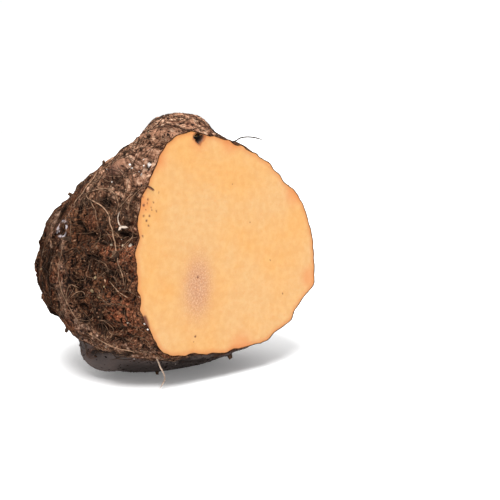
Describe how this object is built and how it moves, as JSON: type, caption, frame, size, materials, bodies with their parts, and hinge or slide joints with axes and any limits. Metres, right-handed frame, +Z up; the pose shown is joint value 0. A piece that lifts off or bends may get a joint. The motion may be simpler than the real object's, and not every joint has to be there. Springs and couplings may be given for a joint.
{
  "type": "cut elephant foot yam corm",
  "caption": "Lumpy dark-skinned elephant foot yam corm with a bud on its crown, cut flat on one side to show smooth cream-orange flesh.",
  "frame": {"origin": "middle of the small flat spot on the root end that the corm rests on", "axes": "+Z up, towards the crown and its bud; -Y out of the flat cut face; +X to the right as one faces the cut"},
  "size_m": [0.2183, 0.1699, 0.2039],
  "materials": {
    "bark": "rough, matt, scurfy skin with matted rootlets",
    "flesh": "smooth, slightly moist cut flesh"
  },
  "bodies": {
    "root": {"corm": "bark"}
  },
  "joints": []
}
